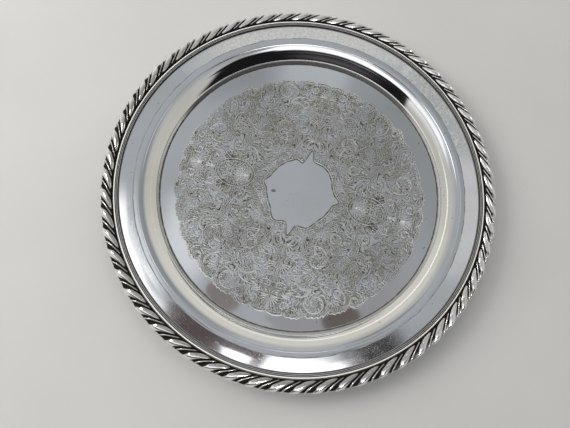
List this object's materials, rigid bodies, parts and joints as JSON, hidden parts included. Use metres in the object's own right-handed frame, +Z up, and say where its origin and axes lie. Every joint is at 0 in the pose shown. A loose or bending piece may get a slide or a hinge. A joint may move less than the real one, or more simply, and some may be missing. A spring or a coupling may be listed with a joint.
{
  "type": "salver",
  "caption": "Round flat-based salver: shallow sheet dish with an engraved centre, stepped wall, smooth flange, reeded ring and slanting gadroon border.",
  "frame": {"origin": "centre of the flat underside, on the surface the salver stands on", "axes": "+Z up along the axis of the round dish; X and Y lie in the surface it stands on"},
  "size_m": [0.3108, 0.3108, 0.0191],
  "materials": {
    "dish_plate": "polished silver plate with fine scratches, faint water marks and an engraved centre",
    "border_plate": "bright silver plate, tarnished dark in the grooves",
    "soft_solder": "dull grey cast solder"
  },
  "bodies": {
    "root": {"dish": "dish_plate", "reeded_wire": "border_plate", "gadroon_length_1": "border_plate", "gadroon_length_2": "border_plate", "gadroon_length_3": "border_plate", "gadroon_length_4": "border_plate", "gadroon_length_5": "border_plate", "gadroon_length_6": "border_plate", "solder_fill_1": "soft_solder", "solder_fill_2": "soft_solder", "solder_fill_3": "soft_solder", "solder_fill_4": "soft_solder", "solder_fill_5": "soft_solder", "solder_fill_6": "soft_solder"}
  },
  "joints": []
}
